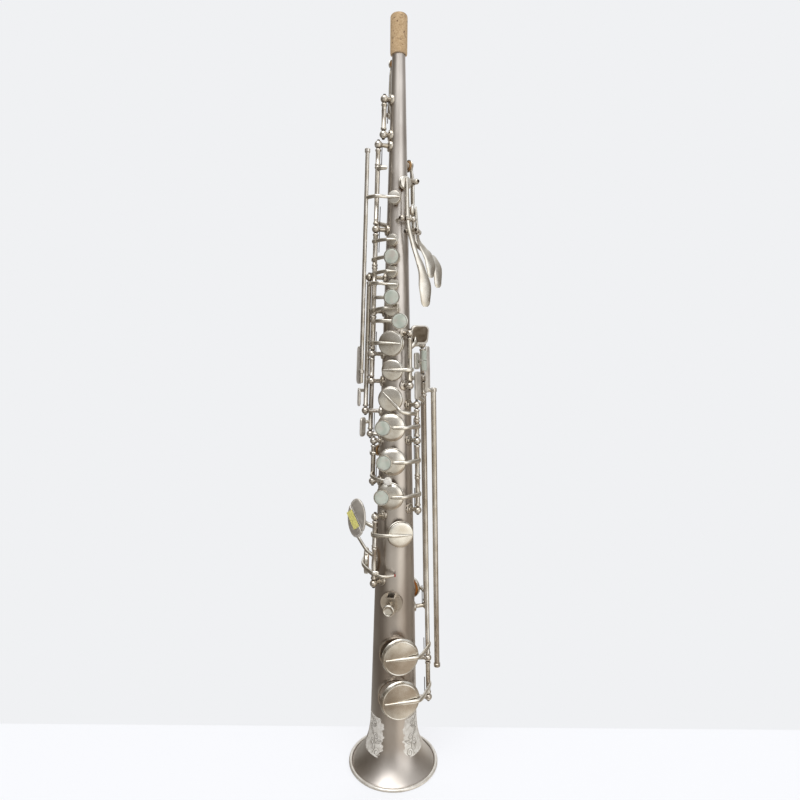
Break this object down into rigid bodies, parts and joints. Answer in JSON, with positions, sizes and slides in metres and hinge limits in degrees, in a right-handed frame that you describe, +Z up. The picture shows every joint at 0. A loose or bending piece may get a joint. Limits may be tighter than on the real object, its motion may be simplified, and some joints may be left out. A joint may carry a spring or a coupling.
{
  "type": "soprano saxophone",
  "caption": "Straight soprano saxophone with a flared bell, padded key cups on hinge rods, pearl touches and a corked neck for the mouthpiece.",
  "frame": {"origin": "centre of the bell rim, in the plane that the rim stands on", "axes": "+Z up the bore towards the mouthpiece cork, -Y the front of the horn with the finger keys, +X the side of the low B flat rods"},
  "size_m": [0.0827, 0.0808, 0.645],
  "materials": {
    "body_silver": "satin silver plate over brass, softly tarnished",
    "key_silver": "polished silver plate over brass",
    "steel": "blued and browned steel",
    "pad_leather": "tan kid leather over felt",
    "pearl": "mother of pearl",
    "cork": "natural sheet cork"
  },
  "bodies": {
    "horn": {"bell": "body_silver", "bell_tone_holes": "body_silver", "body_tube": "body_silver", "tone_holes": "body_silver", "neck_cork": "cork", "key_posts": "key_silver", "hinge_rods": "steel", "needle_springs": "steel", "thumb_hook": "key_silver", "thumb_rest": "key_silver", "lyre_socket": "key_silver"},
    "low_bb": {"low_bb_key": "key_silver", "low_bb_pad": "pad_leather"},
    "low_b": {"low_b_key": "key_silver", "low_b_pad": "pad_leather"},
    "low_c_sharp": {"low_c_sharp_key": "key_silver", "low_c_sharp_pad": "pad_leather"},
    "low_c": {"low_c_key": "key_silver", "low_c_pad": "pad_leather"},
    "e_flat": {"e_flat_key": "key_silver", "e_flat_pad": "pad_leather"},
    "rh3": {"rh3_key": "key_silver", "rh3_pad": "pad_leather", "rh3_pearl": "pearl"},
    "rh2": {"rh2_key": "key_silver", "rh2_pad": "pad_leather", "rh2_pearl": "pearl"},
    "rh1": {"rh1_key": "key_silver", "rh1_pad": "pad_leather", "rh1_pearl": "pearl"},
    "f_sharp": {"f_sharp_key": "key_silver", "f_sharp_pad": "pad_leather"},
    "g_sharp": {"g_sharp_key": "key_silver", "g_sharp_pad": "pad_leather"},
    "lh3": {"lh3_key": "key_silver", "lh3_pad": "pad_leather", "lh3_pearl": "pearl"},
    "lh2": {"lh2_key": "key_silver", "lh2_pad": "pad_leather", "lh2_pearl": "pearl"},
    "bis": {"bis_key": "key_silver", "bis_pad": "pad_leather"},
    "lh1": {"lh1_key": "key_silver", "lh1_pads": "pad_leather", "lh1_pearl": "pearl"},
    "side_c": {"side_c_key": "key_silver", "side_c_pad": "pad_leather"},
    "side_b_flat": {"side_b_flat_key": "key_silver", "side_b_flat_pad": "pad_leather"},
    "high_e": {"high_e_key": "key_silver", "high_e_pad": "pad_leather"},
    "trill": {"trill_key": "key_silver", "trill_pad": "pad_leather"},
    "octave_lever": {"octave_lever": "key_silver"},
    "neck_octave": {"neck_octave_key": "key_silver", "neck_octave_pad": "pad_leather"},
    "palm_d": {"palm_d_key": "key_silver", "palm_d_pad": "pad_leather"},
    "palm_e_flat": {"palm_e_flat_key": "key_silver", "palm_e_flat_pad": "pad_leather"},
    "palm_f": {"palm_f_key": "key_silver", "palm_f_pad": "pad_leather"},
    "lyre_screw": {"lyre_screw": "key_silver"}
  },
  "joints": [
    {"name": "low_bb_hinge", "type": "hinge", "parent": "horn", "child": "low_bb", "pos_m": [0.02754, -0.00096, 0.20081], "axis": [-0.0268, 0.0009, 0.9996], "range_deg": [-9, 0], "stiffness_Nm_per_rad": 0.02, "springref_deg": 8.59},
    {"name": "low_b_hinge", "type": "hinge", "parent": "horn", "child": "low_b", "pos_m": [0.02754, -0.00096, 0.20081], "axis": [-0.0268, 0.0009, 0.9996], "range_deg": [-9, 0], "stiffness_Nm_per_rad": 0.02, "springref_deg": 8.59},
    {"name": "low_c_sharp_hinge", "type": "hinge", "parent": "horn", "child": "low_c_sharp", "pos_m": [0.02674, 0.00667, 0.20081], "axis": [-0.026, -0.0065, 0.9996], "range_deg": [-12, 0], "stiffness_Nm_per_rad": 0.02, "springref_deg": 8.59},
    {"name": "low_c_hinge", "type": "hinge", "parent": "horn", "child": "low_c", "pos_m": [-0.01744, -0.01937, 0.20077], "axis": [0.018, 0.0199, 0.9996], "range_deg": [-10, 0], "stiffness_Nm_per_rad": 0.02, "springref_deg": 8.59},
    {"name": "e_flat_hinge", "type": "hinge", "parent": "horn", "child": "e_flat", "pos_m": [-0.01744, -0.01937, 0.20077], "axis": [0.018, 0.0199, 0.9996], "range_deg": [-11, 0], "stiffness_Nm_per_rad": 0.02, "springref_deg": 8.59},
    {"name": "rh3_hinge", "type": "hinge", "parent": "horn", "child": "rh3", "pos_m": [0.02014, -0.01574, 0.20076], "axis": [-0.0212, 0.0165, 0.9996], "range_deg": [-9.5, 0], "stiffness_Nm_per_rad": 0.02, "springref_deg": 8.59},
    {"name": "rh2_hinge", "type": "hinge", "parent": "horn", "child": "rh2", "pos_m": [0.02014, -0.01574, 0.20076], "axis": [-0.0212, 0.0165, 0.9996], "range_deg": [-9.5, 0], "stiffness_Nm_per_rad": 0.02, "springref_deg": 8.59},
    {"name": "rh1_hinge", "type": "hinge", "parent": "horn", "child": "rh1", "pos_m": [0.02014, -0.01574, 0.20076], "axis": [-0.0212, 0.0165, 0.9996], "range_deg": [-9.5, 0], "stiffness_Nm_per_rad": 0.02, "springref_deg": 8.59},
    {"name": "f_sharp_hinge", "type": "hinge", "parent": "horn", "child": "f_sharp", "pos_m": [0.02014, -0.01574, 0.20076], "axis": [-0.0212, 0.0165, 0.9996], "range_deg": [-9.5, 0], "stiffness_Nm_per_rad": 0.02, "springref_deg": 8.59},
    {"name": "g_sharp_hinge", "type": "hinge", "parent": "horn", "child": "g_sharp", "pos_m": [0.01355, -0.02168, 0.20076], "axis": [-0.0142, 0.0228, 0.9996], "range_deg": [0, 11], "stiffness_Nm_per_rad": 0.02, "springref_deg": -8.59},
    {"name": "lh3_hinge", "type": "hinge", "parent": "horn", "child": "lh3", "pos_m": [-0.02479, -0.00805, 0.20077], "axis": [0.0255, 0.0083, 0.9996], "range_deg": [0, 9], "stiffness_Nm_per_rad": 0.02, "springref_deg": -8.59},
    {"name": "lh2_hinge", "type": "hinge", "parent": "horn", "child": "lh2", "pos_m": [-0.02479, -0.00805, 0.20077], "axis": [0.0255, 0.0083, 0.9996], "range_deg": [0, 9], "stiffness_Nm_per_rad": 0.02, "springref_deg": -8.59},
    {"name": "bis_hinge", "type": "hinge", "parent": "horn", "child": "bis", "pos_m": [-0.02479, -0.00805, 0.20077], "axis": [0.0255, 0.0083, 0.9996], "range_deg": [0, 9], "stiffness_Nm_per_rad": 0.02, "springref_deg": -8.59},
    {"name": "lh1_hinge", "type": "hinge", "parent": "horn", "child": "lh1", "pos_m": [-0.02479, -0.00805, 0.20077], "axis": [0.0255, 0.0083, 0.9996], "range_deg": [0, 9], "stiffness_Nm_per_rad": 0.02, "springref_deg": -8.59},
    {"name": "side_c_hinge", "type": "hinge", "parent": "horn", "child": "side_c", "pos_m": [-0.02949, -0.00206, 0.20087], "axis": [0.0268, 0.0019, 0.9996], "range_deg": [-9, 0], "stiffness_Nm_per_rad": 0.02, "springref_deg": 8.59},
    {"name": "side_b_flat_hinge", "type": "hinge", "parent": "horn", "child": "side_b_flat", "pos_m": [-0.025, 0.00531, 0.20076], "axis": [0.0263, -0.0056, 0.9996], "range_deg": [0, 11], "stiffness_Nm_per_rad": 0.02, "springref_deg": -8.59},
    {"name": "high_e_hinge", "type": "hinge", "parent": "horn", "child": "high_e", "pos_m": [-0.02479, -0.00805, 0.20077], "axis": [0.0255, 0.0083, 0.9996], "range_deg": [-10, 0], "stiffness_Nm_per_rad": 0.02, "springref_deg": 8.59},
    {"name": "trill_hinge", "type": "hinge", "parent": "horn", "child": "trill", "pos_m": [-0.02107, -0.00938, 0.20069], "axis": [0.0245, 0.0109, 0.9996], "range_deg": [0, 8], "stiffness_Nm_per_rad": 0.02, "springref_deg": -8.59},
    {"name": "octave_lever_hinge", "type": "hinge", "parent": "horn", "child": "octave_lever", "pos_m": [-0.02479, -0.00805, 0.20077], "axis": [0.0255, 0.0083, 0.9996], "range_deg": [-7, 0], "stiffness_Nm_per_rad": 0.02, "springref_deg": 8.59},
    {"name": "neck_octave_hinge", "type": "hinge", "parent": "horn", "child": "neck_octave", "pos_m": [-0.01179, -0.00383, 0.56053], "axis": [0.0255, 0.0083, 0.9996], "range_deg": [0, 14], "stiffness_Nm_per_rad": 0.02, "springref_deg": -8.59},
    {"name": "palm_d_hinge", "type": "hinge", "parent": "horn", "child": "palm_d", "pos_m": [0.00852, -0.01476, 0.48063], "axis": [0.866, 0.5, 0], "range_deg": [0, 8], "stiffness_Nm_per_rad": 0.02, "springref_deg": -8.59},
    {"name": "palm_e_flat_hinge", "type": "hinge", "parent": "horn", "child": "palm_e_flat", "pos_m": [0.01688, -0.00359, 0.47263], "axis": [0.2079, 0.9781, 0], "range_deg": [0, 8], "stiffness_Nm_per_rad": 0.02, "springref_deg": -8.59},
    {"name": "palm_f_hinge", "type": "hinge", "parent": "horn", "child": "palm_f", "pos_m": [0.01234, 0.01035, 0.51562], "axis": [-0.6428, 0.766, 0], "range_deg": [0, 8], "stiffness_Nm_per_rad": 0.02, "springref_deg": -8.59},
    {"name": "lyre_screw_turn", "type": "hinge", "parent": "horn", "child": "lyre_screw", "pos_m": [-0.00414, -0.02943, 0.15785], "axis": [-0.1391, -0.9899, 0.0268], "continuous": true}
  ],
  "couplings": [
    {"joint": "f_sharp_hinge", "follows": "rh1_hinge", "ratio": 1},
    {"joint": "neck_octave_hinge", "follows": "octave_lever_hinge", "ratio": -2}
  ]
}
